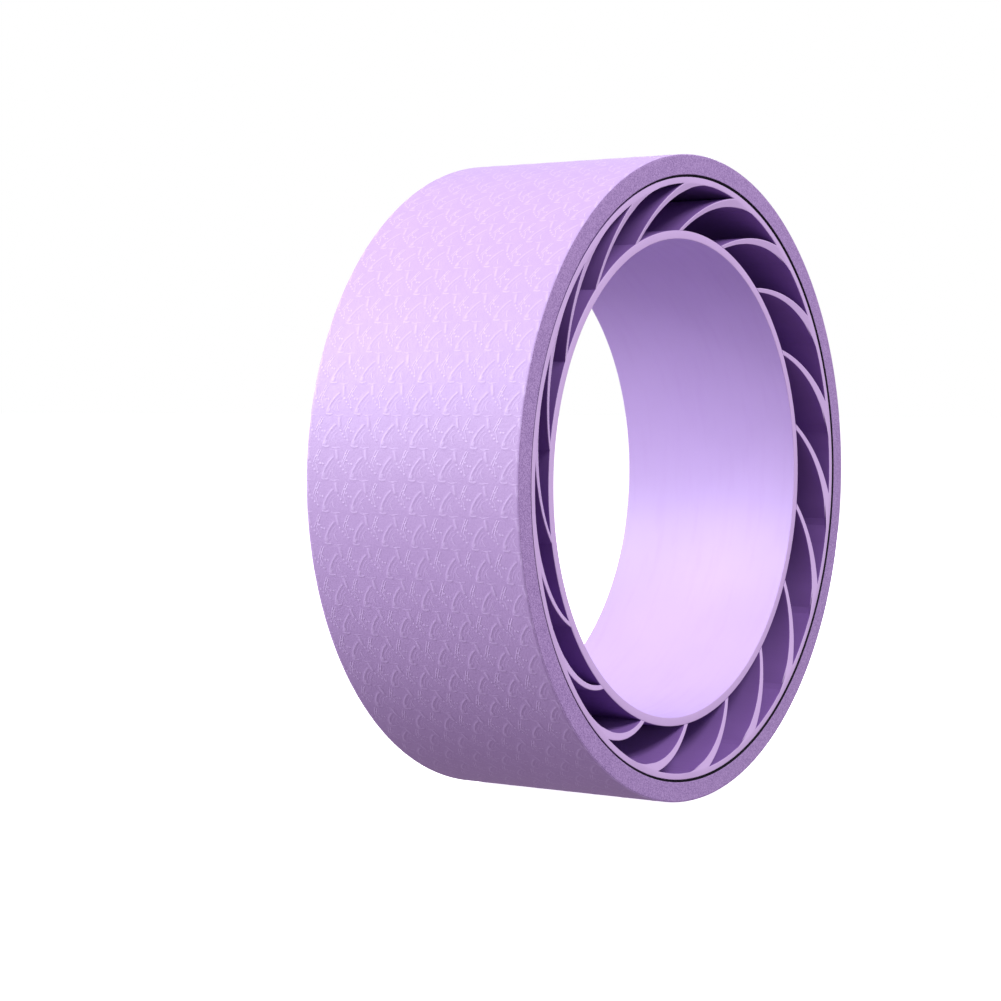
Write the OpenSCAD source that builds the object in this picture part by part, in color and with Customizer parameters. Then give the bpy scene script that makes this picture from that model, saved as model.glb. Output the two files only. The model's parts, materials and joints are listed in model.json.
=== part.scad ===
// Yoga wheel: a foam tread pad taped round a plastic wheel.
// The wheel is two like vane rings, back to back, closed inside by one smooth hoop.
// The wheel's axis is Y, the photographed face looks along -Y, and +Z is up.

/* [Overall] */
// Diameter over the tread
wheel_d = 320; // [280:1:380]
// Width across the tread
wheel_w = 120; // [90:1:150]

/* [Tread pad] */
// Thickness of the foam pad
pad_t = 10; // [6:0.5:14]
// Rounding of the pad's outer edges
pad_edge_r = 0.8; // [0.3:0.1:2]

/* [Adhesive tape] */
// Thickness of the tape between the pad and the plastic
tape_t = 1.2; // [0.6:0.1:2]
// Depth of the open groove left at each edge of the tape
tape_inset = 1.2; // [0.8:0.1:6]

/* [Outer hoop] */
// Wall of the outer hoop
hoop_t = 3; // [2:0.1:5]
// How far the hoop's edge lies inside the pad's side face
hoop_inset = 0.4; // [0.2:0.1:2]
// Rounding of the hoop's edge beside the groove
hoop_edge_r = 0.3; // [0.2:0.05:0.9]

/* [Inner hoop] */
// Wall of the inner hoop
inner_t = 4.2; // [3:0.1:6]
// How far the inner hoop's edge lies inside the pad's side face
inner_inset = 8; // [2:0.5:16]
// Rounding of the inner hoop's edges
inner_edge_r = 0.4; // [0.2:0.05:1.2]

/* [Vanes] */
// Number of vanes round the wheel
vane_count = 18; // [12:1:24]
// Height of the vanes between the two hoops
vane_h = 22.7; // [16:0.1:30]
// Width of a vane's root, measured along the inner hoop
vane_root_w = 3.5; // [2.4:0.1:5]
// Lean of a vane's hollow side from the radius, at its root
hollow_lean = 52.4; // [44:0.2:58]
// Lean of a vane's full side from the radius, at its root
full_lean = 50.5; // [42:0.2:56]
// How much larger the full side's radius is than the hollow side's, which flares the vane outwards
vane_flare = 8.2; // [2:0.1:20]
// Place of the first vane's root, clockwise from the top
first_root = 18.4; // [0:0.2:20]

/* [Floor] */
// Floor that closes each vane ring at the wheel's middle
floor_t = 1.6; // [1:0.1:3]

/* [Hidden] */
$fn = 180;

tread_r = wheel_d / 2;
pad_bore_r = tread_r - pad_t;
hoop_r = pad_bore_r - tape_t;
hoop_bore_r = hoop_r - hoop_t;
inner_r = hoop_bore_r - vane_h;
bore_r = inner_r - inner_t;
hoop_half_w = wheel_w / 2 - hoop_inset;
inner_half_w = wheel_w / 2 - inner_inset;
// A cutter starts or ends this far outside the solid that it cuts
clear = 5;

// The hollow side is one arc that runs into the outer hoop almost in line with its wall.
// It passes the wall by this much, so that it meets it at a clean edge.
hollow_runout = 0.06;
hollow_reach = hoop_bore_r + hollow_runout;
hollow_r = (pow(hollow_reach, 2) - pow(inner_r, 2)) / (2 * (hollow_reach - inner_r * sin(hollow_lean)));
full_r = hollow_r + vane_flare;
root_turn = vane_root_w / inner_r * 180 / PI;

// Distance from the wheel's centre to that of an arc that leans so at the inner hoop
function arc_off(r, lean) = sqrt(pow(inner_r, 2) + pow(r, 2) - 2 * inner_r * r * sin(lean));
// Angle at the wheel's centre between that arc's root and its own centre
function arc_turn(r, lean) = asin(r * cos(lean) / arc_off(r, lean));
// A point at a radius and a clockwise angle from the top
function clock(r, t) = [r * sin(t), r * cos(t)];

// A flat ring
module ring_2d(outer, bore) {
    difference() {
        circle(r = outer);
        circle(r = bore);
    }
}

// The disc whose rim is one side of a vane rooted at an angle
module side_disc(root, r, lean) {
    translate(clock(arc_off(r, lean), root + arc_turn(r, lean)))
        circle(r = r);
}

// One vane, from the inner hoop to the outer one
module vane_2d(root) {
    toe = root + root_turn / 2 + arc_turn(hollow_r, hollow_lean);
    reach = 2 * tread_r;
    intersection() {
        difference() {
            side_disc(root - root_turn / 2, full_r, full_lean);
            side_disc(root + root_turn / 2, hollow_r, hollow_lean);
        }
        ring_2d(hoop_bore_r + hoop_t / 2, inner_r);
        polygon([[0, 0], clock(reach, root - root_turn), clock(reach, toe)]);
    }
}

// The hoop and its vanes as seen from the front
module face_2d() {
    ring_2d(hoop_r, hoop_bore_r);
    for (i = [0 : vane_count - 1])
        vane_2d(first_root + i * 360 / vane_count);
}

// Cuts the vanes' edges down in a straight slope from the outer hoop to the inner one
module dish() {
    slope = (hoop_half_w - inner_half_w) / (hoop_bore_r - inner_r);
    rotate_extrude()
        polygon([
            [inner_r - clear, inner_half_w - clear * slope],
            [hoop_bore_r, hoop_half_w],
            [hoop_bore_r, hoop_half_w + clear],
            [inner_r - clear, hoop_half_w + clear]
        ]);
}

// Rounds the hoop's edge beside the groove
module hoop_round() {
    difference() {
        translate([0, 0, hoop_half_w - hoop_edge_r])
            linear_extrude(height = hoop_edge_r + clear)
                ring_2d(hoop_r + clear, hoop_r - hoop_edge_r);
        rotate_extrude()
            translate([hoop_r - hoop_edge_r, hoop_half_w - hoop_edge_r])
                circle(r = hoop_edge_r);
    }
}

// One vane ring lying on its floor, with its open face up
module vane_ring() {
    difference() {
        linear_extrude(height = hoop_half_w)
            face_2d();
        dish();
        hoop_round();
    }
    linear_extrude(height = floor_t)
        ring_2d(hoop_bore_r + hoop_t / 2, inner_r);
}

// A band round the Y axis with a rounded section: square bore edges where bore_edge is 0
module band(outer, bore, half_w, outer_edge, bore_edge) {
    rotate([90, 0, 0])
        rotate_extrude()
            union() {
                translate([bore + bore_edge, -half_w])
                    square([outer - outer_edge - bore - bore_edge, 2 * half_w]);
                translate([outer - outer_edge, -half_w + outer_edge])
                    square([outer_edge, 2 * (half_w - outer_edge)]);
                if (bore_edge > 0)
                    translate([bore, -half_w + bore_edge])
                        square([bore_edge, 2 * (half_w - bore_edge)]);
                for (side = [-1, 1]) {
                    translate([outer - outer_edge, side * (half_w - outer_edge)])
                        circle(r = outer_edge);
                    if (bore_edge > 0)
                        translate([bore + bore_edge, side * (half_w - bore_edge)])
                            circle(r = bore_edge);
                }
            }
}

module tread_pad() {
    color([0.83, 0.73, 0.95])
        band(tread_r, pad_bore_r, wheel_w / 2, pad_edge_r, 0);
}

module adhesive_tape() {
    color([0.16, 0.1, 0.24])
        rotate([90, 0, 0])
            linear_extrude(height = wheel_w - 2 * tape_inset, center = true)
                ring_2d(pad_bore_r, hoop_r);
}

module front_vane_ring() {
    color([0.78, 0.68, 0.88])
        rotate([90, 0, 0])
            vane_ring();
}

// The same moulding, turned round to face the other way
module rear_vane_ring() {
    color([0.78, 0.68, 0.88])
        rotate([0, 0, 180])
            rotate([90, 0, 0])
                vane_ring();
}

module inner_hoop() {
    color([0.8, 0.7, 0.92])
        band(inner_r, bore_r, inner_half_w, inner_edge_r, inner_edge_r);
}

tread_pad();
adhesive_tape();
front_vane_ring();
rear_vane_ring();
inner_hoop();
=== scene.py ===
"""A yoga wheel: an embossed foam tread taped round a moulded plastic wheel with curved vanes."""

import json
import math

import bmesh
import bpy
from mathutils import Matrix, Vector


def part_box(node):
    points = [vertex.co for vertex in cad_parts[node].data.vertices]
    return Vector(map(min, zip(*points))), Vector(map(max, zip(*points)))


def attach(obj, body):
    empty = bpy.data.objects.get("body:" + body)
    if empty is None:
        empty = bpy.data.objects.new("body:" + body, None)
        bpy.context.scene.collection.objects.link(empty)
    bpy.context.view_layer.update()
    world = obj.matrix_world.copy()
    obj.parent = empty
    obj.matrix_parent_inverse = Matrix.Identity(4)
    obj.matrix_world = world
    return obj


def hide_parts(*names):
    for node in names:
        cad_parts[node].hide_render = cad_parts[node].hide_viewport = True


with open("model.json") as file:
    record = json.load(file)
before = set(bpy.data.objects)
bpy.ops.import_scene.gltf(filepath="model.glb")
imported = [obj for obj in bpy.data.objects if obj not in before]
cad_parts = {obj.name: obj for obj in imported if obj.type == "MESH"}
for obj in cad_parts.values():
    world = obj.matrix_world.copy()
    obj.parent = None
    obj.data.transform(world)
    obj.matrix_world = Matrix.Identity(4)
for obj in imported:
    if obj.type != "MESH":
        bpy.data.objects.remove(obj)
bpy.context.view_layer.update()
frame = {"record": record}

MM = 0.001

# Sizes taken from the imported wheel
pad_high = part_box("tread_pad")[1]
ring_low, ring_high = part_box("front_vane_ring")
inner_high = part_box("inner_hoop")[1]
tape_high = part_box("adhesive_tape")[1]
mounts = {mount["name"]: mount for mount in frame["record"]["mounts"]}
TREAD_R = pad_high[0]
PAD_HALF_W = pad_high[1]
HOOP_R = ring_high[0]
HOOP_HALF_W = -ring_low[1]
INNER_R = inner_high[0]
INNER_HALF_W = inner_high[1]
TAPE_HALF_W = tape_high[1]
BORE_R = mounts["bore"]["dims"]["r_mm"] * MM

# Sizes of the pad and the moulding, as in the part's source
PAD_T = 10 * MM
PAD_BORE_R = TREAD_R - PAD_T
PAD_EDGE_R = 0.8 * MM
HOOP_T = 3 * MM
HOOP_BORE_R = HOOP_R - HOOP_T
HOOP_EDGE_R = 0.3 * MM
INNER_EDGE_R = 0.4 * MM
TAPE_EDGE_R = 0.2 * MM
FLOOR_T = 1.6 * MM
VANE_COUNT = 18
VANE_ROOT_W = 3.5 * MM
VANE_FLARE = 8.2 * MM
VANE_EDGE_R = 0.35 * MM
HOLLOW_LEAN = math.radians(52.4)
FULL_LEAN = math.radians(50.5)
HOLLOW_RUNOUT = 0.06 * MM
FIRST_ROOT = math.radians(18.4)
SECTOR = math.tau / VANE_COUNT

# How finely the mesh follows round things: the turns of a rounded edge, the steps from one vane to
# the next along a hoop, and the steps round a whole band
EDGE_TURNS = [math.pi / 8 * step for step in (1, 2, 3, 4)]
STEPS_BETWEEN_VANES = 10
HOOP_STEPS = 360
TAPE_STEPS = 180

# How far a face's normal leans along the wheel's axis where the face counts as a front or a rear
FACING = 0.3

# Places no further apart than this count as one place
NEAR = 0.01 * MM

# The embossed repeat of the foam sheet: its size, where the first one starts in millimetres across
# and round the tread, how finely the mesh follows it, how far the skin lies under the pad's size to
# leave room for the strokes, and the steps of the whole sheet
REPEATS_ROUND = 66
REPEAT_ACROSS = 16.8
REPEAT_ROUND = math.tau * TREAD_R / MM / REPEATS_ROUND
SHEET_START = (2.1, 1.2)
STEPS_ROUND = 22
STEPS_ACROSS = 24
SKIN_DROP = 0.1 * MM
HALF_FLAT = PAD_HALF_W - PAD_EDGE_R
SHEET_STEPS_ROUND = REPEATS_ROUND * STEPS_ROUND
SHEET_STEPS_ACROSS = round(2 * HALF_FLAT / MM / REPEAT_ACROSS * STEPS_ACROSS)

# Strokes of the repeat, in millimetres across the tread and round it: the stroke's two ends, how
# far its middle bows out, to the left of a stroke that runs down, half its width and its height.
# The bold ones are raised in the mesh, and the finish adds the fine lines and dots
BOLD_STROKES = (
    ((13.2, 8.6), (6.8, 18.2), 0.95, 0.85, 0.092),
    ((8.3, 16.4), (7.6, 18.3), 0.05, 1.30, 0.105),
    ((14.6, 5.4), (15.6, 10.2), 0.05, 1.10, 0.095),
    ((6.4, 18.8), (10.2, 19.0), 0.35, 0.75, 0.105),
)
FINE_STROKES = (
    ((16.0, 11.2), (16.6, 12.0), 0.05, 0.72, 0.090),
    ((17.4, 12.9), (18.0, 13.6), 0.05, 0.72, 0.090),
    ((18.8, 14.4), (19.4, 15.1), 0.05, 0.72, 0.090),
    ((20.4, 15.8), (21.2, 16.4), 0.05, 0.72, 0.090),
    ((13.4, 11.0), (9.4, 17.6), 0.70, 0.40, 0.030),
    ((14.4, 12.4), (11.0, 17.6), 0.60, 0.38, 0.030),
    ((11.8, 19.4), (14.8, 20.1), 0.20, 0.45, 0.045),
    ((22.2, 5.6), (19.2, 11.9), 0.10, 0.42, 0.075),
    ((21.1, 5.3), (18.1, 11.5), 0.10, 0.42, 0.070),
    ((19.2, 12.0), (20.4, 15.2), -0.40, 0.38, 0.065),
    ((13.2, 4.6), (16.8, 4.4), -0.10, 0.42, 0.045),
)

# The photograph's viewpoint: its distance in metres from the wheel's middle, its azimuth and
# elevation in degrees, how many degrees the aim is turned off the middle, and the lens's length and
# the film's width in millimetres
VIEW_DISTANCE = 1.229152
VIEWED_FROM = (-57.992, 1.897)
AIMED_OFF = (2.255, 0.564)
LENS_LENGTH = 86.6
FILM_WIDTH = 36.0

# How far the studio's floor reaches each way, in metres
FLOOR_REACH = 20.0


def clock(radius, turn, y=0.0):
    """A point at a clockwise turn from the wheel's top, seen from the front"""
    return Vector((radius * math.sin(turn), y, radius * math.cos(turn)))


def wrapped(value, period):
    """The value shifted by whole periods until it is nearest to zero"""
    return (value + period / 2) % period - period / 2


def eased(amount):
    """A rise from 0 to 1 with soft ends"""
    amount = min(max(amount, 0.0), 1.0)
    return amount * amount * (3 - 2 * amount)


def stroke_arc(start, end, bow):
    """The arc of a stroke: its crest, the way from there to its centre, its chord's way and length"""
    chord = Vector(end) - Vector(start)
    left = Vector((-chord.y, chord.x)).normalized()
    radius = chord.length_squared / (8 * abs(bow)) + abs(bow) / 2
    crest = (Vector(start) + Vector(end)) / 2 + bow * left
    return crest, -math.copysign(radius, bow) * left, chord.normalized(), chord.length


def stroke_height(across, around, stroke):
    """Height of one stroke of the emboss at a place on the foam sheet"""
    start, end, bow, half_width, height = stroke
    crest, bend, way, length = stroke_arc(start, end, bow)
    x = wrapped(across - crest.x, REPEAT_ACROSS)
    y = wrapped(around - crest.y, REPEAT_ROUND)
    off = abs((Vector((x, y)) - bend).length - bend.length)
    past = length / 2 - abs(way.dot(Vector((x, y))))
    return height * eased(1 - off / half_width) * eased(past / half_width + 0.5)


def repeat_heights():
    """Heights of the bold strokes over one repeat, in metres, by steps round and across"""
    rows = []
    for i in range(STEPS_ROUND):
        around = i * REPEAT_ROUND / STEPS_ROUND - SHEET_START[1]
        row = []
        for j in range(STEPS_ACROSS):
            across = j * REPEAT_ACROSS / STEPS_ACROSS - SHEET_START[0]
            row.append(MM * max(stroke_height(across, around, s) for s in BOLD_STROKES))
        rows.append(row)
    return rows


def new_piece(name, mesh, node, materials):
    """Makes an object of a finished bmesh, which rides on the wheel and stands for a CAD node"""
    data = bpy.data.meshes.new(name)
    mesh.to_mesh(data)
    mesh.free()
    for material in materials:
        data.materials.append(material)
    piece = bpy.data.objects.new(name, data)
    bpy.context.scene.collection.objects.link(piece)
    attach(piece, "root")
    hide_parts(node)
    return piece


def shade(mesh, crease=None):
    """Turns every face outwards and shades it smooth, with sharp edges past a crease angle"""
    bmesh.ops.recalc_face_normals(mesh, faces=mesh.faces)
    for face in mesh.faces:
        face.smooth = True
    if crease is not None:
        for edge in mesh.edges:
            edge.smooth = edge.calc_face_angle(0.0) < crease


def open_edges(mesh, side):
    """The open edges on one side of a band, side being -1 at the front and 1 at the rear"""
    return [edge for edge in mesh.edges if edge.is_boundary and side * edge.verts[0].co.y > 0]


def grown_verts(mesh, edges):
    """Extrudes edges in place, and gives the new vertices"""
    grown = bmesh.ops.extrude_edge_only(mesh, edges=edges)["geom"]
    return [vert for vert in grown if isinstance(vert, bmesh.types.BMVert)]


def open_round(verts):
    """The open edges round some vertices, each of them once"""
    edges = [edge for vert in verts for edge in vert.link_edges if edge.is_boundary]
    return list(dict.fromkeys(edges))


def next_ring(mesh, edges, radius, y):
    """Extrudes a ring of edges to another radius and place along the axis"""
    verts = grown_verts(mesh, edges)
    for vert in verts:
        vert.co = clock(radius, math.atan2(vert.co.x, vert.co.z), y)
    return open_round(verts)


def foam_tread(skin, cut, groove_shade):
    """The foam pad: a flat embossed sheet rolled round the hoop, with square-cut sides"""
    skin_r = TREAD_R - SKIN_DROP
    heights = repeat_heights()

    mesh = bmesh.new()
    mesh.loops.layers.uv.new("Sheet")
    bmesh.ops.create_grid(
        mesh, x_segments=SHEET_STEPS_ACROSS, y_segments=SHEET_STEPS_ROUND, size=0.5, calc_uvs=True
    )
    ends = []
    for vert in mesh.verts:
        j = round((vert.co.x + 0.5) * SHEET_STEPS_ACROSS)
        i = round((vert.co.y + 0.5) * SHEET_STEPS_ROUND)
        fade = min(j, SHEET_STEPS_ACROSS - j, 2) / 2
        lift = fade * heights[i % STEPS_ROUND][j % STEPS_ACROSS]
        y = HALF_FLAT - 2 * HALF_FLAT * j / SHEET_STEPS_ACROSS
        vert.co = clock(skin_r + lift, -i * math.tau / SHEET_STEPS_ROUND, y)
        if i in (0, SHEET_STEPS_ROUND):
            ends.append(vert)
    bmesh.ops.remove_doubles(mesh, verts=ends, dist=NEAR / 10)

    skin_faces = set(mesh.faces)
    last = []
    for side in (-1, 1):
        edges = open_edges(mesh, side)
        for turn in EDGE_TURNS:
            y = HALF_FLAT + PAD_EDGE_R * math.sin(turn)
            edges = next_ring(mesh, edges, skin_r - PAD_EDGE_R * (1 - math.cos(turn)), side * y)
            if turn == EDGE_TURNS[1]:
                # The skin's finish ends half way round the edge
                skin_faces.update(face for face in mesh.faces if face not in skin_faces)
        # Rings close to the side's two corners keep the shading between them flat
        shoulder_r = skin_r - PAD_EDGE_R
        for share in (0.05, 0.5, 0.95, 1.0):
            ring_r = shoulder_r + share * (PAD_BORE_R - shoulder_r)
            edges = next_ring(mesh, edges, ring_r, side * PAD_HALF_W)
        for face in mesh.faces:
            if face not in skin_faces:
                face.material_index = 1
                skin_faces.add(face)
        last += edges
    # The pad's inner wall, seen down the groove, gets the nearly black tape finish: painted shade
    for face in bmesh.ops.bridge_loops(mesh, edges=last)["faces"]:
        face.material_index = 2
    shade(mesh)

    pad = new_piece("foam_tread", mesh, "tread_pad", (skin, cut, groove_shade))


def rounded_band(outer, bore, half_width, edge_r, steps):
    """A band with a rounded section, spun round the wheel's axis"""
    section = Matrix.Translation((0, 0, (outer + bore) / 2))
    section = section @ Matrix.Rotation(math.pi / 2, 4, "Y")
    section = section @ Matrix.Diagonal((outer - bore, 2 * half_width, 1, 1))
    mesh = bmesh.new()
    bmesh.ops.create_grid(mesh, x_segments=1, y_segments=1, size=0.5, matrix=section)
    bmesh.ops.bevel(
        mesh, geom=mesh.verts[:], offset=edge_r, offset_type="OFFSET", segments=4,
        profile=0.5, affect="VERTICES", material=-1,
    )
    bmesh.ops.delete(mesh, geom=mesh.faces[:], context="FACES_ONLY")
    bmesh.ops.spin(
        mesh, geom=mesh.verts[:] + mesh.edges[:], cent=(0, 0, 0), axis=(0, 1, 0),
        angle=math.tau, steps=steps, use_merge=True,
    )
    # A ring just behind each rounded edge keeps the wall's shading flat
    for side in (-1, 1):
        bmesh.ops.bisect_plane(
            mesh, geom=mesh.verts[:] + mesh.edges[:] + mesh.faces[:],
            plane_co=(0, side * (half_width - 2 * edge_r), 0), plane_no=(0, 1, 0),
        )
    shade(mesh)
    return mesh


def side_turn(centre, side_r, radius, near):
    """Turn at which a vane's side, an arc about a centre, crosses a radius of the wheel"""
    off = centre.length
    reach = (radius**2 + off**2 - side_r**2) / (2 * radius * off)
    half = math.acos(min(max(reach, -1.0), 1.0))
    middle = math.atan2(centre.x, centre.z)
    return min((middle - half, middle + half), key=lambda turn: abs(wrapped(turn - near, math.tau)))


def side_centre(root, side_r, lean):
    """Centre of a vane's side that leaves the inner hoop at a root, leaning from the radius"""
    off = math.sqrt(INNER_R**2 + side_r**2 - 2 * INNER_R * side_r * math.sin(lean))
    return clock(off, root + math.asin(side_r * math.cos(lean) / off))


def edge_depth(radius):
    """How far the moulding's front edge stands from the mid-plane: level, then dished inwards"""
    share = (radius - INNER_R) / (HOOP_BORE_R - INNER_R)
    return INNER_HALF_W + min(share, 1.0) * (HOOP_HALF_W - INNER_HALF_W)


def vane_front(mesh):
    """One vane's dished front edge, as a grid, and the grid's edge against the hoop"""
    rows = 36
    columns = 12
    rim_r = HOOP_BORE_R + VANE_EDGE_R
    reach = HOOP_BORE_R + HOLLOW_RUNOUT
    hollow_r = (reach**2 - INNER_R**2) / (2 * (reach - INNER_R * math.sin(HOLLOW_LEAN)))
    full_r = hollow_r + VANE_FLARE
    half_root = VANE_ROOT_W / INNER_R / 2
    full = side_centre(FIRST_ROOT - half_root, full_r, FULL_LEAN)
    hollow = side_centre(FIRST_ROOT + half_root, hollow_r, HOLLOW_LEAN)
    foot = []
    for vert in bmesh.ops.create_grid(mesh, x_segments=columns, y_segments=rows, size=0.5)["verts"]:
        share = vert.co.x + 0.5
        rise = vert.co.y + 0.5
        if rise > 1 - 0.5 / rows:
            foot.append(vert)
        start_r = INNER_R + (rim_r - INNER_R) * rise
        end_r = rim_r - (rim_r - INNER_R) * (1 - rise) ** 2
        start = side_turn(full, full_r - VANE_EDGE_R, start_r, FIRST_ROOT)
        end = side_turn(hollow, hollow_r + VANE_EDGE_R, end_r, FIRST_ROOT)
        radius = start_r + share * (end_r - start_r)
        vert.co = clock(radius, start + share * (end - start), -edge_depth(radius))
    return sorted(foot, key=lambda vert: math.atan2(vert.co.x, vert.co.z))


def reach_of(vert):
    """How far a vertex is from the wheel's axis"""
    return math.hypot(vert.co.x, vert.co.z)


def on_root(edge):
    """Whether an edge lies against the inner hoop"""
    return all(reach_of(vert) < INNER_R + NEAR for vert in edge.verts)


def open_at(mesh, y):
    """The open edges that lie at one place along the axis"""
    level = [e for e in mesh.edges if all(abs(v.co.y - y) < NEAR / 10 for v in e.verts)]
    return [edge for edge in level if len(edge.link_faces) < 2]


def pocket_way(vert, outline):
    """Which way an outline's corner goes, in plan, so that both its edges go out by one"""
    ways = []
    for edge in vert.link_edges:
        if edge not in outline:
            continue
        along = edge.other_vert(vert).co - vert.co
        way = Vector((along.z, 0.0, -along.x)).normalized()
        middle = (edge.verts[0].co + edge.verts[1].co) / 2
        if way.dot(middle - edge.link_faces[0].calc_center_median()) < 0:
            way.negate()
        ways.append((way, on_root(edge)))
    (first, first_held), (second, second_held) = ways
    if first_held and second_held:
        return Vector()
    if not first_held and not second_held:
        return (first + second) / (1 + first.dot(second))
    held, free = (first, second) if first_held else (second, first)
    slide = Vector((held.z, 0.0, -held.x))
    return slide / slide.dot(free)


def sink_pockets(mesh, outline):
    """Rounds the front edge over into the pockets and walls them down to the floor

    Each step goes out and down by so many radii of the rounding: round the edge, straight down a
    little so that the rounding's shading ends there, and on to the floor."""
    paths = {}
    for edge in outline:
        for vert in edge.verts:
            paths[vert] = (vert.co.copy(), pocket_way(vert, outline))
    drops = [(math.sin(turn), 1 - math.cos(turn)) for turn in EDGE_TURNS]
    edges = outline
    for out, down in drops + [(1, 3), (1, None)]:
        verts = grown_verts(mesh, edges)
        moved = {}
        for vert in verts:
            above = next(e.other_vert(vert) for e in vert.link_edges if e.other_vert(vert) in paths)
            top, way = moved[vert] = paths[above]
            vert.co = top + VANE_EDGE_R * out * way
            vert.co.y = -FLOOR_T if down is None else top.y + VANE_EDGE_R * down
        edges = open_round(verts)
        paths = moved


def outer_hoop(mesh, edges):
    """Carries the moulding's front edge over the outer hoop's rim and back to the mid-plane"""
    corner_r = HOOP_R - HOOP_EDGE_R
    edges = next_ring(mesh, edges, corner_r, -HOOP_HALF_W)
    for turn in EDGE_TURNS:
        y = HOOP_HALF_W - HOOP_EDGE_R * (1 - math.cos(turn))
        edges = next_ring(mesh, edges, corner_r + HOOP_EDGE_R * math.sin(turn), -y)
    edges = next_ring(mesh, edges, HOOP_R, -(HOOP_HALF_W - 3 * HOOP_EDGE_R))
    next_ring(mesh, edges, HOOP_R, 0.0)


def pocket_floors(mesh):
    """Closes the pockets' feet with the floor, and carries the moulding on to the mid-plane"""
    floor = -FLOOR_T
    for vert in dict.fromkeys(vert for edge in open_at(mesh, floor) for vert in edge.verts):
        past = wrapped(math.atan2(vert.co.x, vert.co.z) - FIRST_ROOT, SECTOR)
        sides = [edge for edge in vert.link_edges if edge.is_boundary]
        if past > 0 and on_root(sides[0]) != on_root(sides[1]):
            bmesh.ops.spin(
                mesh, geom=[vert], cent=(0, 0, 0), axis=(0, 1, 0),
                angle=SECTOR - VANE_ROOT_W / INNER_R, steps=STEPS_BETWEEN_VANES,
            )
    level = {vert for edge in open_at(mesh, floor) for vert in edge.verts}
    bmesh.ops.remove_doubles(mesh, verts=list(level), dist=2 * NEAR)
    edges = [e for e in open_at(mesh, floor) if e.is_wire or not on_root(e)]
    bmesh.ops.triangle_fill(mesh, edges=edges, use_beauty=True, normal=(0, -1, 0))
    next_ring(mesh, open_at(mesh, floor), INNER_R, 0.0)
    bmesh.ops.bridge_loops(mesh, edges=open_at(mesh, 0.0))


def moulded_ring(name, node, edge_and_painted_shade_plastics, turned):
    """One moulding: the outer hoop, its vanes and the floor behind them, with paler front edges and a
    darker tint down the pockets as painted shade
    """
    mesh = bmesh.new()
    foot = vane_front(mesh)
    tip, toe = foot[0], foot[-1]
    foot_turn = math.atan2(toe.co.x, toe.co.z) - math.atan2(tip.co.x, tip.co.z)
    bmesh.ops.spin(
        mesh, geom=[toe], cent=(0, 0, 0), axis=(0, 1, 0), angle=SECTOR - foot_turn,
        steps=STEPS_BETWEEN_VANES,
    )
    bmesh.ops.spin(
        mesh, geom=mesh.verts[:] + mesh.edges[:] + mesh.faces[:], cent=(0, 0, 0),
        axis=(0, 1, 0), angle=math.tau, steps=VANE_COUNT, use_duplicate=True,
    )
    bmesh.ops.remove_doubles(mesh, verts=mesh.verts, dist=NEAR)

    rim_r = HOOP_BORE_R + VANE_EDGE_R
    outer_hoop(mesh, [e for e in mesh.edges if min(reach_of(v) for v in e.verts) > rim_r - NEAR / 2])
    inside = [e for e in mesh.edges if max(reach_of(v) for v in e.verts) < rim_r + NEAR / 2]
    sink_pockets(mesh, [edge for edge in inside if edge.is_boundary])
    pocket_floors(mesh)
    shade(mesh, crease=math.radians(35))

    # The front edges take the paler finish; all the faces down the pockets take the darker one, which
    # is painted shade
    for face in mesh.faces:
        at_front = face.calc_center_median().y < -(INNER_HALF_W - MM)
        face.material_index = int(at_front and face.normal.y < -FACING)
    if turned:
        bmesh.ops.rotate(mesh, matrix=Matrix.Rotation(math.pi, 3, "Z"), verts=mesh.verts)
    new_piece(name, mesh, node, edge_and_painted_shade_plastics)


def inner_hoop(edge_and_painted_shade_plastics):
    """The inner hoop: its own finish in the bore, the vanes' pale finish on its sides, and the darker
    pocket finish, painted shade, toward the pockets
    """
    mesh = rounded_band(INNER_R, BORE_R, INNER_HALF_W, INNER_EDGE_R, HOOP_STEPS)
    for face in mesh.faces:
        middle = face.calc_center_median()
        if abs(face.normal.y) > FACING:
            face.material_index = 2
        # The face toward the pockets takes the darker pocket finish: painted shade
        elif face.normal.x * middle.x + face.normal.z * middle.z > 0:
            face.material_index = 1
    finishes = (hoop_plastic(), *edge_and_painted_shade_plastics)
    new_piece("smooth_hoop", mesh, "inner_hoop", finishes)


def groove_tape(finish):
    """The tape that fills the gap between the outer hoop and the pad, set back from both sides"""
    mesh = rounded_band(PAD_BORE_R, HOOP_R, TAPE_HALF_W, TAPE_EDGE_R, TAPE_STEPS)
    new_piece("groove_tape", mesh, "adhesive_tape", (finish,))


def added(tree, kind, inputs=None, **settings):
    """A new shader node, with its settings made and each input linked or set"""
    node = tree.nodes.new("ShaderNode" + kind)
    for name, value in settings.items():
        setattr(node, name, value)
    for name, value in (inputs or {}).items():
        if isinstance(value, bpy.types.NodeSocket):
            tree.links.new(value, node.inputs[name])
        else:
            node.inputs[name].default_value = value
    return node


def tint(red, green, blue):
    """A colour given as it looks on a screen, from 0 to 255, carried to linear light"""
    parts = [part / 255 for part in (red, green, blue)]
    return (*(p / 12.92 if p <= 0.04045 else ((p + 0.055) / 1.055) ** 2.4 for p in parts), 1.0)


def blank_finish(name):
    """A material with an empty node tree"""
    material = bpy.data.materials.new(name)
    material.use_nodes = True
    material.node_tree.nodes.clear()
    return material, material.node_tree


def surfaced(tree, inputs):
    """Ends a material's nodes in one surface shader"""
    shader = added(tree, "BsdfPrincipled", inputs)
    added(tree, "OutputMaterial", {"Surface": shader.outputs["BSDF"]})


def noise(tree, place, scale, detail=2.0):
    """The factor of a noise, its scale in waves to the metre"""
    inputs = {"Vector": place, "Scale": scale, "Detail": detail}
    return added(tree, "TexNoise", inputs).outputs["Fac"]


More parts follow.
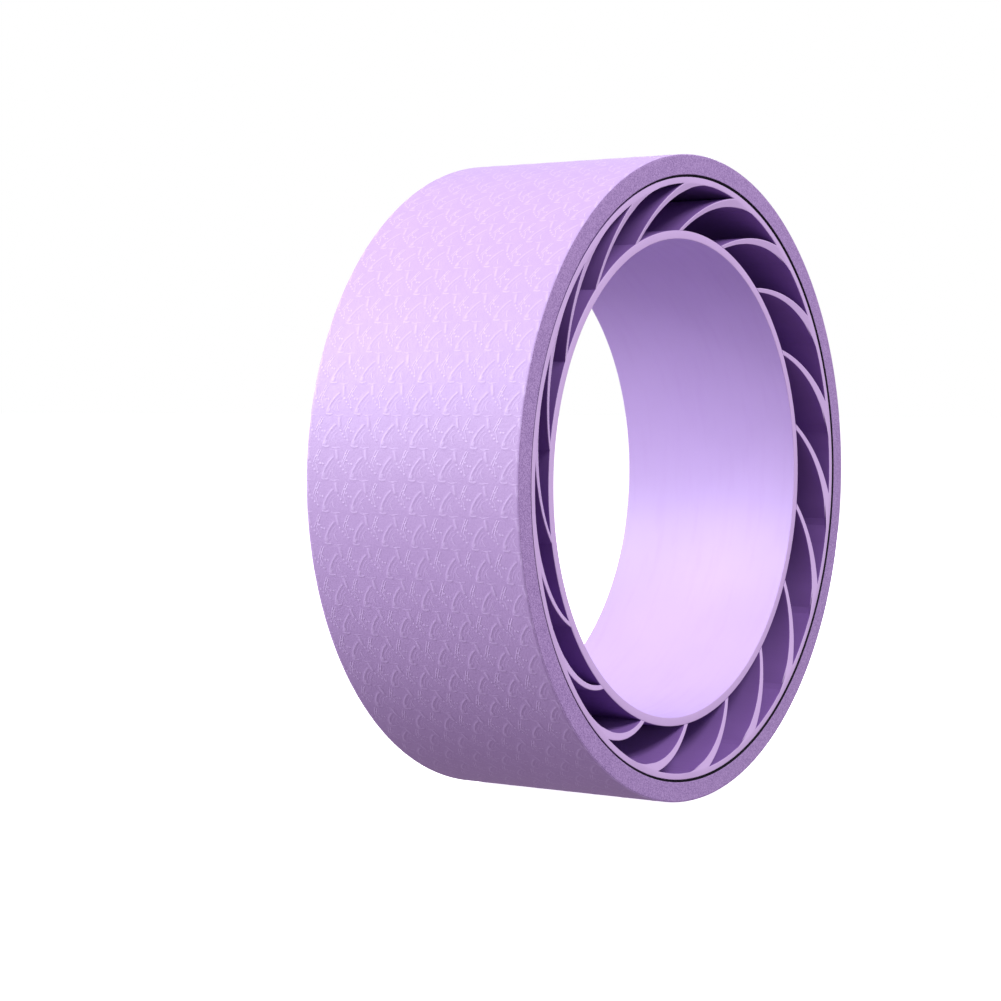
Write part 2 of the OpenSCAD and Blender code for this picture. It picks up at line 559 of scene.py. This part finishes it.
def ranged(tree, value, low, high, to_low=0.0, to_high=1.0):
    """A value carried from one range to another and kept inside it"""
    inputs = {"Value": value, "From Min": low, "From Max": high, "To Min": to_low, "To Max": to_high}
    return added(tree, "MapRange", inputs).outputs["Result"]


def blended(tree, amount, first, second):
    """One colour shading into another: inputs 0, 6 and 7 are a colour mix's share and colours"""
    return added(tree, "Mix", {0: amount, 6: first, 7: second}, data_type="RGBA").outputs[2]


def bumped(tree, height, distance, under=None):
    """A bump of a height, laid over another bump"""
    inputs = {"Height": height, "Distance": distance}
    if under is not None:
        inputs["Normal"] = under
    return added(tree, "Bump", inputs).outputs["Normal"]


def calculated(tree, operation, *values):
    """The result of one sum on numbers"""
    inputs = dict(enumerate(values))
    return added(tree, "Math", inputs, operation=operation).outputs["Value"]


def stroke_group():
    """A node group that gives the height of one stroke of the emboss at a place on the sheet"""
    group = bpy.data.node_groups.new("Embossed stroke", "ShaderNodeTree")
    for name in ("Place", "Middle", "Bend", "Along"):
        group.interface.new_socket(name, in_out="INPUT", socket_type="NodeSocketVector")
    for name in ("Radius", "Half length", "Half width", "Height"):
        group.interface.new_socket(name, in_out="INPUT", socket_type="NodeSocketFloat")
    group.interface.new_socket("Stroke", in_out="OUTPUT", socket_type="NodeSocketFloat")
    given = group.nodes.new("NodeGroupInput").outputs
    half_repeat = (REPEAT_ACROSS / 2, REPEAT_ROUND / 2, 1.0)
    gap = added(group, "VectorMath", {0: given["Place"], 1: given["Middle"]}, operation="SUBTRACT")
    near = added(
        group, "VectorMath", {0: gap.outputs[0], 1: half_repeat, 2: [-half for half in half_repeat]},
        operation="WRAP",
    ).outputs[0]
    arm = added(group, "VectorMath", {0: near, 1: given["Bend"]}, operation="SUBTRACT").outputs[0]
    length = added(group, "VectorMath", {0: arm}, operation="LENGTH").outputs["Value"]
    off = calculated(group, "ABSOLUTE", calculated(group, "SUBTRACT", length, given["Radius"]))
    run = added(group, "VectorMath", {0: near, 1: given["Along"]}, operation="DOT_PRODUCT")
    along = calculated(group, "ABSOLUTE", run.outputs["Value"])
    end = calculated(group, "MULTIPLY_ADD", given["Half width"], 0.5, given["Half length"])
    start = calculated(group, "MULTIPLY_ADD", given["Half width"], -0.5, given["Half length"])
    body = added(group, "MapRange", {
        "Value": off, "From Min": given["Half width"], "From Max": 0.0,
    }, interpolation_type="SMOOTHSTEP").outputs["Result"]
    ends = added(group, "MapRange", {
        "Value": along, "From Min": end, "From Max": start,
    }, interpolation_type="SMOOTHSTEP").outputs["Result"]
    height = calculated(group, "MULTIPLY", calculated(group, "MULTIPLY", body, ends), given["Height"])
    result = group.nodes.new("NodeGroupOutput")
    group.links.new(height, result.inputs["Stroke"])
    return group


def embossed(tree, group, place, strokes):
    """The height of some strokes of the emboss together, in millimetres"""
    total = None
    for start, end, bow, half_width, height in strokes:
        crest, bend, way, length = stroke_arc(start, end, bow)
        stroke = added(tree, "Group", {}, node_tree=group)
        tree.links.new(place, stroke.inputs["Place"])
        stroke.inputs["Middle"].default_value = (*crest, 0.0)
        stroke.inputs["Bend"].default_value = (*bend, 0.0)
        stroke.inputs["Along"].default_value = (*way, 0.0)
        stroke.inputs["Radius"].default_value = bend.length
        stroke.inputs["Half length"].default_value = length / 2
        stroke.inputs["Half width"].default_value = half_width
        stroke.inputs["Height"].default_value = height
        if total is None:
            total = stroke.outputs[0]
        else:
            total = calculated(tree, "MAXIMUM", total, stroke.outputs[0])
    return total


def foam_skin():
    """The tread's moulded skin: matt lavender foam with fine lines between the raised strokes, and a
    painted highlight on the strokes
    """
    material, tree = blank_finish("Lavender foam skin")
    sheet = added(tree, "UVMap", uv_map="Sheet").outputs["UV"]
    size = (SHEET_STEPS_ACROSS / STEPS_ACROSS * REPEAT_ACROSS, REPEATS_ROUND * REPEAT_ROUND, 1.0)
    begin = (-SHEET_START[0], -SHEET_START[1], 0.0)
    place = added(tree, "Mapping", {"Vector": sheet, "Location": begin, "Scale": size})
    place = place.outputs["Vector"]
    solid = added(tree, "TexCoord").outputs["Object"]
    group = stroke_group()
    raised = embossed(tree, group, place, BOLD_STROKES)
    lines = embossed(tree, group, place, FINE_STROKES)
    relief = calculated(tree, "MULTIPLY_ADD", raised, 0.5, lines)
    mottle = ranged(tree, noise(tree, solid, 110, 4), 0.3, 0.7)
    pores = noise(tree, solid, 2600, 2)
    colour = blended(tree, mottle, tint(193, 167, 220), tint(190, 164, 217))
    speck = ranged(tree, pores, 0.30, 0.45, 0.24, 0.0)
    colour = blended(tree, speck, colour, tint(150, 118, 190))
    # The raised strokes are painted paler towards their crests: a painted highlight that shows the
    # relief
    colour = blended(tree, ranged(tree, relief, 0.01, 0.06, 0.0, 0.60), colour, tint(219, 199, 244))
    normal = bumped(tree, relief, MM)
    normal = bumped(tree, noise(tree, solid, 800, 1), 0.07 * MM, normal)
    normal = bumped(tree, pores, 0.035 * MM, normal)
    surfaced(tree, {
        "Base Color": colour,
        "Roughness": ranged(tree, noise(tree, solid, 400, 3), 0.3, 0.7, 0.50, 0.60),
        "Specular IOR Level": 0.5,
        "Sheen Weight": 0.12,
        "Sheen Roughness": 0.4,
        "Normal": normal,
    })
    return material


def foam_cut():
    """The pad's cut side: closed foam cells laid bare, darker and drier than the skin"""
    material, tree = blank_finish("Cut lavender foam")
    solid = added(tree, "TexCoord").outputs["Object"]
    cells = added(tree, "TexVoronoi", {"Vector": solid, "Scale": 1500.0}).outputs["Distance"]
    fine = noise(tree, solid, 3200, 2)
    mottle = ranged(tree, noise(tree, solid, 260, 3), 0.3, 0.7)
    colour = blended(tree, mottle, tint(141, 116, 165), tint(131, 106, 156))
    colour = blended(tree, ranged(tree, cells, 0.25, 0.7, 0.0, 0.6), colour, tint(184, 157, 206))
    colour = blended(tree, ranged(tree, fine, 0.32, 0.45, 0.6, 0.0), colour, tint(88, 62, 116))
    normal = bumped(tree, cells, 0.12 * MM)
    normal = bumped(tree, fine, 0.08 * MM, normal)
    surfaced(tree, {
        "Base Color": colour, "Roughness": 0.85, "Specular IOR Level": 0.25, "Normal": normal,
    })
    return material


def moulded_plastic(name, pale, deep, streak, gloss):
    """The vanes' plastic: satin, faintly grained, with faint draw marks along the pocket walls"""
    material, tree = blank_finish(name)
    solid = added(tree, "TexCoord").outputs["Object"]
    drawn = added(tree, "Mapping", {"Vector": solid, "Scale": (1.0, 0.03, 1.0)}).outputs["Vector"]
    streaks = noise(tree, drawn, 700, 3)
    mottle = ranged(tree, noise(tree, solid, 45, 3), 0.35, 0.65)
    peel = noise(tree, solid, 900, 2)
    colour = blended(tree, mottle, pale, deep)
    colour = blended(tree, ranged(tree, streaks, 0.55, 0.8, 0.0, 0.25), colour, streak)
    normal = bumped(tree, streaks, 0.02 * MM)
    normal = bumped(tree, peel, 0.015 * MM, normal)
    surfaced(tree, {
        "Base Color": colour,
        "Roughness": ranged(tree, streaks, 0.3, 0.7, 0.40, 0.50),
        "Specular IOR Level": gloss,
        "Normal": normal,
    })
    return material


def hoop_plastic():
    """The inner hoop's plastic: smoother, with faint flow lines round the bore"""
    material, tree = blank_finish("Smooth lavender hoop")
    solid = added(tree, "TexCoord").outputs["Object"]
    flow = added(tree, "Mapping", {"Vector": solid, "Scale": (0.12, 1.0, 0.12)}).outputs["Vector"]
    lines = noise(tree, flow, 260, 4)
    mottle = ranged(tree, noise(tree, solid, 30, 3), 0.35, 0.65)
    colour = blended(tree, mottle, tint(195, 173, 225), tint(193, 171, 223))
    colour = blended(tree, ranged(tree, lines, 0.5, 0.8, 0.0, 0.2), colour, tint(183, 151, 214))
    normal = bumped(tree, lines, 0.02 * MM)
    normal = bumped(tree, noise(tree, solid, 1200, 2), 0.008 * MM, normal)
    surfaced(tree, {
        "Base Color": colour,
        "Roughness": ranged(tree, lines, 0.3, 0.7, 0.42, 0.50),
        "Specular IOR Level": 0.45,
        "Normal": normal,
    })
    return material


def tape_and_groove_shade_finish():
    """The tape in the groove: foam tape with a torn-looking edge, made nearly black as painted shade
    for the groove
    """
    material, tree = blank_finish("Dark foam tape and groove shade")
    solid = added(tree, "TexCoord").outputs["Object"]
    fibres = noise(tree, solid, 1800, 4)
    colour = blended(tree, ranged(tree, fibres, 0.3, 0.7), tint(12, 8, 18), tint(28, 20, 38))
    surfaced(tree, {
        "Base Color": colour, "Roughness": 0.9, "Specular IOR Level": 0.2,
        "Normal": bumped(tree, fibres, 0.2 * MM),
    })
    return material


def floor_finish():
    """The studio floor: a pale light table, faintly uneven"""
    material, tree = blank_finish("Pale studio floor")
    solid = added(tree, "TexCoord").outputs["Object"]
    colour = blended(tree, noise(tree, solid, 3, 3), tint(246, 246, 248), tint(250, 250, 251))
    surfaced(tree, {
        "Base Color": colour, "Roughness": 0.9, "Specular IOR Level": 0.1,
        "Emission Color": (1.0, 1.0, 1.0, 1.0), "Emission Strength": 0.93,
    })
    return material


def room_light():
    """The room behind everything: white to look at, and dim as light, so that hollows stay dark"""
    world = bpy.data.worlds.new("Pale room")
    bpy.context.scene.world = world
    world.use_nodes = True
    tree = world.node_tree
    tree.nodes.clear()
    light = added(tree, "Background", {"Color": (1.08, 0.85, 1.10, 1.0), "Strength": 0.305})
    seen = added(tree, "Background", {"Color": (1.0, 1.0, 1.0, 1.0), "Strength": 1.0})
    path = added(tree, "LightPath").outputs["Is Camera Ray"]
    room = added(tree, "MixShader", {0: path, 1: light.outputs[0], 2: seen.outputs[0]})
    added(tree, "OutputWorld", {"Surface": room.outputs[0]})


def studio():
    """A pale floor in a pale room, with soft lights behind the wheel, before it and beside it"""
    scene = bpy.context.scene
    scene.view_settings.view_transform = "Standard"
    mesh = bmesh.new()
    bmesh.ops.create_grid(
        mesh, x_segments=1, y_segments=1, size=FLOOR_REACH,
        matrix=Matrix.Translation((0, 0, -TREAD_R)),
    )
    data = bpy.data.meshes.new("studio_floor")
    mesh.to_mesh(data)
    mesh.free()
    data.materials.append(floor_finish())
    ground = bpy.data.objects.new("studio_floor", data)
    scene.collection.objects.link(ground)
    ground.visible_diffuse = False
    ground.visible_glossy = False
    room_light()

    # Each softbox: its place, its width and height in metres, and its power in watts
    for name, place, size, power in (
        ("key_softbox", (-1.4, 1.3, 1.45), (1.2, 1.2), 20),
        ("rear_softbox", (-1.3, 2.0, 0.8), (1.0, 1.0), 65),
        ("high_softbox", (-0.2, -1.4, 1.9), (1.0, 1.0), 37),
        ("front_softbox", (0.1, -2.5, 0.15), (0.6, 0.6), 24),
        ("side_softbox", (2.3, 0.6, 0.6), (1.0, 1.0), 24),
    ):
        lamp = bpy.data.lights.new(name, "AREA")
        lamp.shape = "RECTANGLE"
        lamp.size, lamp.size_y = size
        lamp.energy = power
        box = bpy.data.objects.new(name, lamp)
        scene.collection.objects.link(box)
        box.location = place
        box.rotation_euler = (-Vector(place)).to_track_quat("-Z", "Y").to_euler()


def toward_viewer(azimuth, elevation):
    """The way from the wheel towards a viewer at an azimuth and an elevation, in degrees"""
    a, e = math.radians(azimuth), math.radians(elevation)
    return Vector((math.sin(a) * math.cos(e), -math.cos(a) * math.cos(e), math.sin(e)))


def camera():
    """The photograph's viewpoint: close by, level with the hub, from the tread's side"""
    azimuth, elevation = VIEWED_FROM
    aside, upward = AIMED_OFF
    lens = bpy.data.cameras.new("camera")
    lens.sensor_width = FILM_WIDTH
    lens.lens = LENS_LENGTH
    viewer = bpy.data.objects.new("camera", lens)
    bpy.context.scene.collection.objects.link(viewer)
    viewer.location = VIEW_DISTANCE * toward_viewer(azimuth, elevation)
    aim = -toward_viewer(azimuth + aside, elevation + upward)
    viewer.rotation_euler = aim.to_track_quat("-Z", "Y").to_euler()
    bpy.context.scene.camera = viewer


camera()
studio()
# The vanes' plastic twice: a darker, less glossy copy that paints shade down the pockets, and the
# paler front edges
edge_and_painted_shade_plastics = (
    moulded_plastic(
        "Lavender with painted pocket shade", tint(143, 107, 179), tint(140, 104, 176), tint(131, 97, 167), 0.12
    ),
    moulded_plastic(
        "Lavender vane edges", tint(192, 167, 211), tint(189, 164, 208), tint(182, 156, 201), 0.45
    ),
)
tape = tape_and_groove_shade_finish()
foam_tread(foam_skin(), foam_cut(), tape)
moulded_ring("front_vanes", "front_vane_ring", edge_and_painted_shade_plastics, turned=False)
moulded_ring("rear_vanes", "rear_vane_ring", edge_and_painted_shade_plastics, turned=True)
inner_hoop(edge_and_painted_shade_plastics)
groove_tape(tape)
